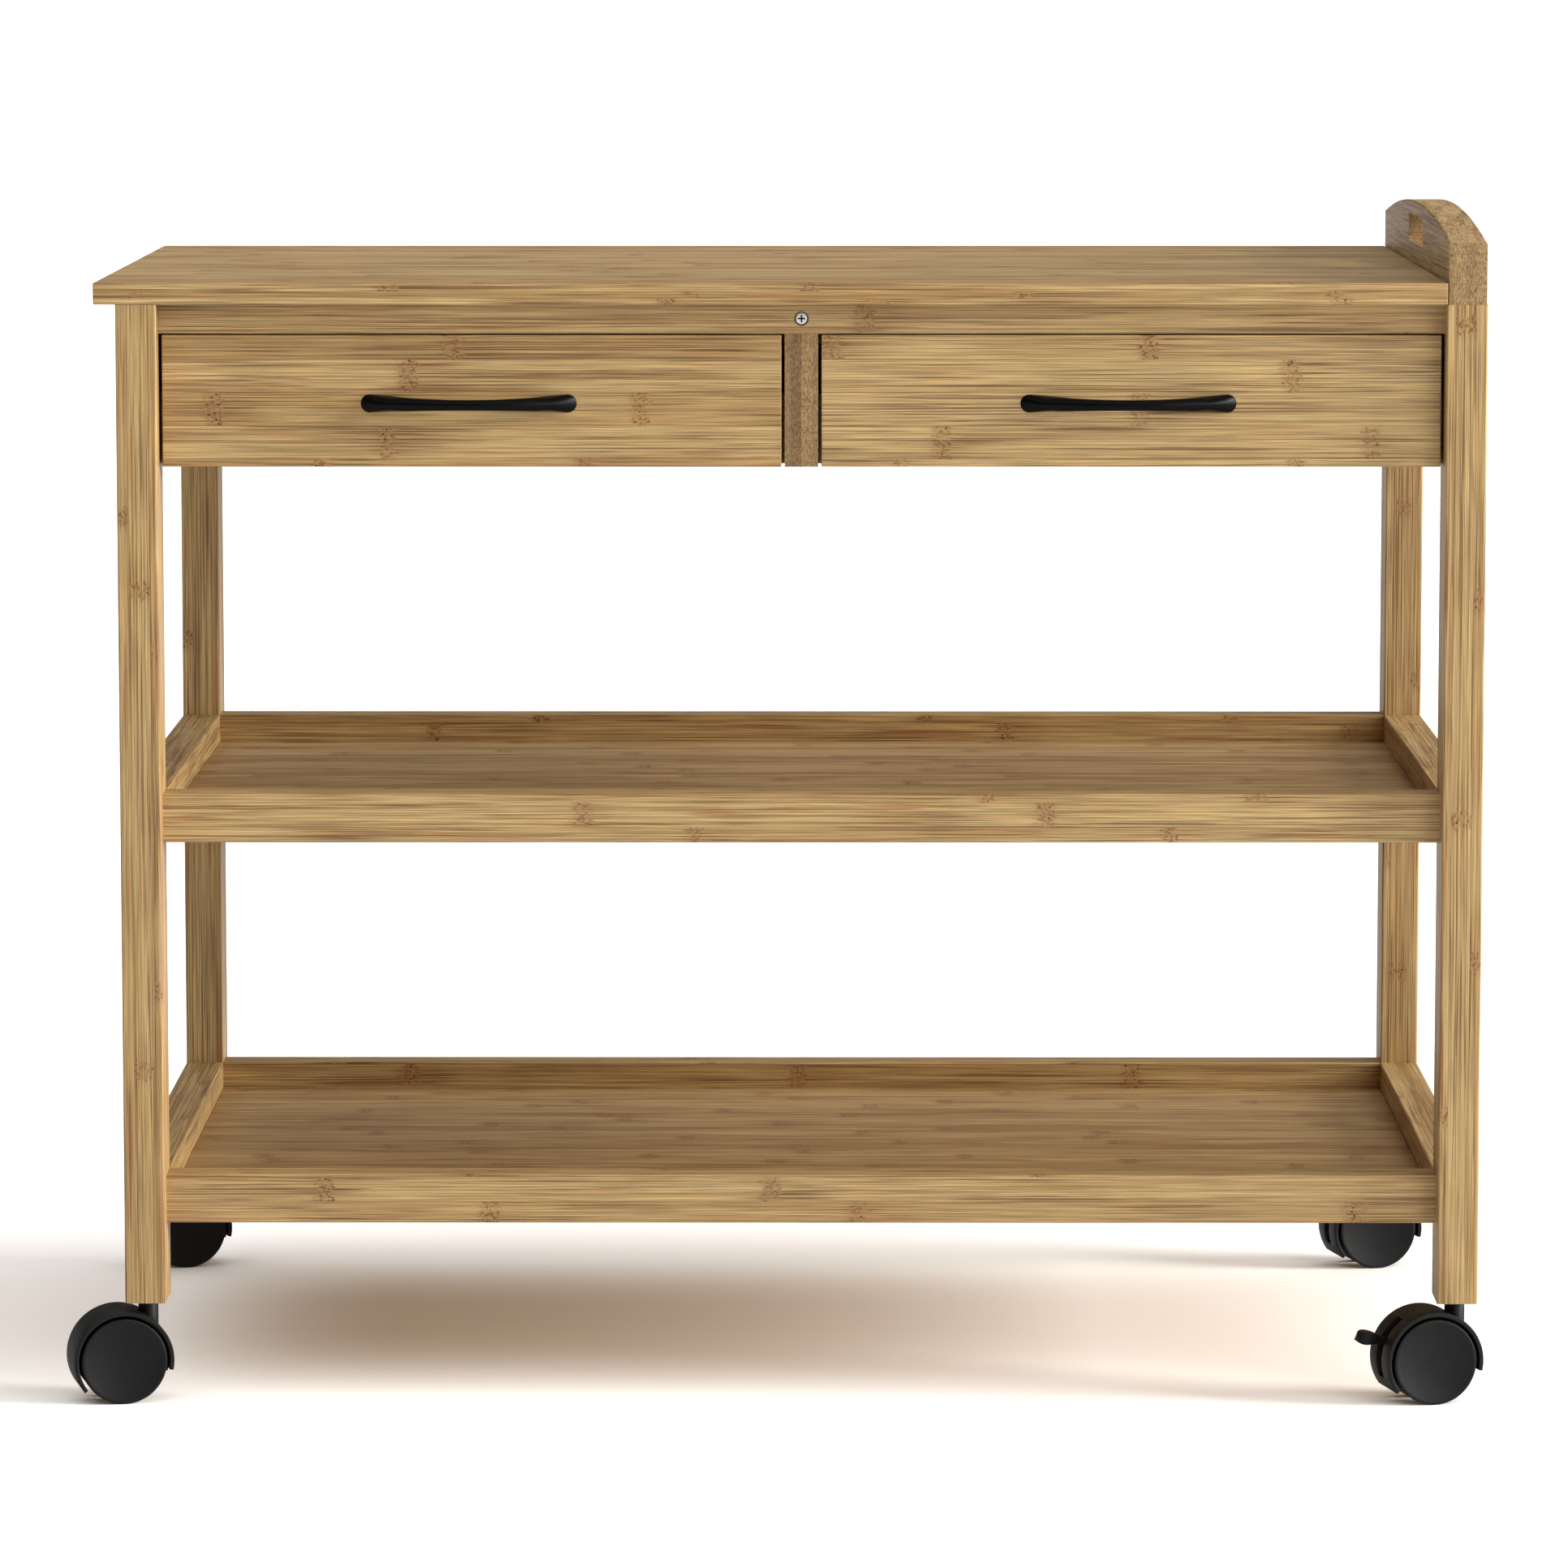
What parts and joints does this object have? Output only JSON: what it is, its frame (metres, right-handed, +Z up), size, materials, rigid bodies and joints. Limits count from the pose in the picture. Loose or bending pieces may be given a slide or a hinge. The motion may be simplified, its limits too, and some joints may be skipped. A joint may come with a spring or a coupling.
{
  "type": "rolling utility cart",
  "caption": "Bamboo kitchen cart with a worktop, side-by-side drawers, tray shelves, an arched push handle with a grip slot, and swivel twin-wheel casters.",
  "frame": {"origin": "on the floor, at the centre of the rectangle that the four legs stand on", "axes": "+X along the cart towards the handle board, +Y from the drawer fronts to the back, +Z up"},
  "size_m": [0.9897, 0.5764, 0.8245],
  "materials": {
    "bamboo": "satin varnish",
    "dowel_wood": "bare",
    "black_plastic": "satin, lightly textured",
    "black_metal": "satin black lacquer",
    "zinc_steel": "bright zinc"
  },
  "bodies": {
    "frame": {"barrel_nuts": "zinc_steel", "caster_sockets": "zinc_steel", "caster_stems": "zinc_steel", "divider_screws": "zinc_steel", "drawer_divider": "bamboo", "drawer_runners": "bamboo", "frame_bolts": "zinc_steel", "frame_dowels": "dowel_wood", "front_apron": "bamboo", "front_left_leg": "bamboo", "front_right_leg": "bamboo", "handle_board": "bamboo", "left_apron": "bamboo", "lower_shelf_front_rail": "bamboo", "lower_shelf_left_rail": "bamboo", "lower_shelf_panel": "bamboo", "lower_shelf_rear_rail": "bamboo", "lower_shelf_right_rail": "bamboo", "rear_apron": "bamboo", "rear_left_leg": "bamboo", "rear_right_leg": "bamboo", "right_apron": "bamboo", "upper_shelf_front_rail": "bamboo", "upper_shelf_left_rail": "bamboo", "upper_shelf_panel": "bamboo", "upper_shelf_rear_rail": "bamboo", "upper_shelf_right_rail": "bamboo", "worktop": "bamboo"},
    "left_drawer": {"left_drawer_back": "bamboo", "left_drawer_bottom": "bamboo", "left_drawer_front": "bamboo", "left_drawer_left_side": "bamboo", "left_drawer_pull": "black_metal", "left_drawer_pull_screws": "zinc_steel", "left_drawer_right_side": "bamboo"},
    "right_drawer": {"right_drawer_back": "bamboo", "right_drawer_bottom": "bamboo", "right_drawer_front": "bamboo", "right_drawer_left_side": "bamboo", "right_drawer_pull": "black_metal", "right_drawer_pull_screws": "zinc_steel", "right_drawer_right_side": "bamboo"},
    "front_left_caster": {"front_left_caster_hood": "black_plastic", "front_left_caster_axle": "zinc_steel"},
    "front_left_front_wheel": {"front_left_caster_front_wheel": "black_plastic"},
    "front_left_rear_wheel": {"front_left_caster_rear_wheel": "black_plastic"},
    "rear_left_caster": {"rear_left_caster_hood": "black_plastic", "rear_left_caster_axle": "zinc_steel"},
    "rear_left_front_wheel": {"rear_left_caster_front_wheel": "black_plastic"},
    "rear_left_rear_wheel": {"rear_left_caster_rear_wheel": "black_plastic"},
    "front_right_caster": {"front_right_caster_hood": "black_plastic", "front_right_caster_axle": "zinc_steel"},
    "front_right_front_wheel": {"front_right_caster_front_wheel": "black_plastic"},
    "front_right_rear_wheel": {"front_right_caster_rear_wheel": "black_plastic"},
    "front_right_brake": {"front_right_caster_brake_lever": "black_plastic"},
    "rear_right_caster": {"rear_right_caster_hood": "black_plastic", "rear_right_caster_axle": "zinc_steel"},
    "rear_right_front_wheel": {"rear_right_caster_front_wheel": "black_plastic"},
    "rear_right_rear_wheel": {"rear_right_caster_rear_wheel": "black_plastic"},
    "rear_right_brake": {"rear_right_caster_brake_lever": "black_plastic"}
  },
  "joints": [
    {"name": "left_drawer_slide", "type": "slide", "parent": "frame", "child": "left_drawer", "axis": [0, -1, 0], "range_m": [0, 0.33]},
    {"name": "right_drawer_slide", "type": "slide", "parent": "frame", "child": "right_drawer", "axis": [0, -1, 0], "range_m": [0, 0.33]},
    {"name": "front_left_swivel", "type": "hinge", "parent": "frame", "child": "front_left_caster", "pos_m": [-0.456, -0.26, 0.057], "axis": [0, 0, 1], "continuous": true},
    {"name": "front_left_front_wheel_spin", "type": "hinge", "parent": "front_left_caster", "child": "front_left_front_wheel", "pos_m": [-0.47206, -0.27858, 0.03], "axis": [0.2368, -0.9715, 0], "continuous": true},
    {"name": "front_left_rear_wheel_spin", "type": "hinge", "parent": "front_left_caster", "child": "front_left_rear_wheel", "pos_m": [-0.47881, -0.25089, 0.03], "axis": [0.2368, -0.9715, 0], "continuous": true},
    {"name": "rear_left_swivel", "type": "hinge", "parent": "frame", "child": "rear_left_caster", "pos_m": [-0.456, 0.26, 0.057], "axis": [0, 0, 1], "continuous": true},
    {"name": "rear_left_front_wheel_spin", "type": "hinge", "parent": "rear_left_caster", "child": "rear_left_front_wheel", "pos_m": [-0.47206, 0.24142, 0.03], "axis": [0.2368, -0.9715, 0], "continuous": true},
    {"name": "rear_left_rear_wheel_spin", "type": "hinge", "parent": "rear_left_caster", "child": "rear_left_rear_wheel", "pos_m": [-0.47881, 0.26911, 0.03], "axis": [0.2368, -0.9715, 0], "continuous": true},
    {"name": "front_right_swivel", "type": "hinge", "parent": "frame", "child": "front_right_caster", "pos_m": [0.456, -0.26, 0.057], "axis": [0, 0, 1], "continuous": true},
    {"name": "front_right_front_wheel_spin", "type": "hinge", "parent": "front_right_caster", "child": "front_right_front_wheel", "pos_m": [0.43994, -0.27858, 0.03], "axis": [0.2368, -0.9715, 0], "continuous": true},
    {"name": "front_right_rear_wheel_spin", "type": "hinge", "parent": "front_right_caster", "child": "front_right_rear_wheel", "pos_m": [0.43319, -0.25089, 0.03], "axis": [0.2368, -0.9715, 0], "continuous": true},
    {"name": "front_right_brake_press", "type": "hinge", "parent": "front_right_caster", "child": "front_right_brake", "pos_m": [0.43657, -0.26474, 0.03], "axis": [0.2368, -0.9715, 0], "range_deg": [0, 25]},
    {"name": "rear_right_swivel", "type": "hinge", "parent": "frame", "child": "rear_right_caster", "pos_m": [0.456, 0.26, 0.057], "axis": [0, 0, 1], "continuous": true},
    {"name": "rear_right_front_wheel_spin", "type": "hinge", "parent": "rear_right_caster", "child": "rear_right_front_wheel", "pos_m": [0.43994, 0.24142, 0.03], "axis": [0.2368, -0.9715, 0], "continuous": true},
    {"name": "rear_right_rear_wheel_spin", "type": "hinge", "parent": "rear_right_caster", "child": "rear_right_rear_wheel", "pos_m": [0.43319, 0.26911, 0.03], "axis": [0.2368, -0.9715, 0], "continuous": true},
    {"name": "rear_right_brake_press", "type": "hinge", "parent": "rear_right_caster", "child": "rear_right_brake", "pos_m": [0.43657, 0.25526, 0.03], "axis": [0.2368, -0.9715, 0], "range_deg": [0, 25]}
  ]
}
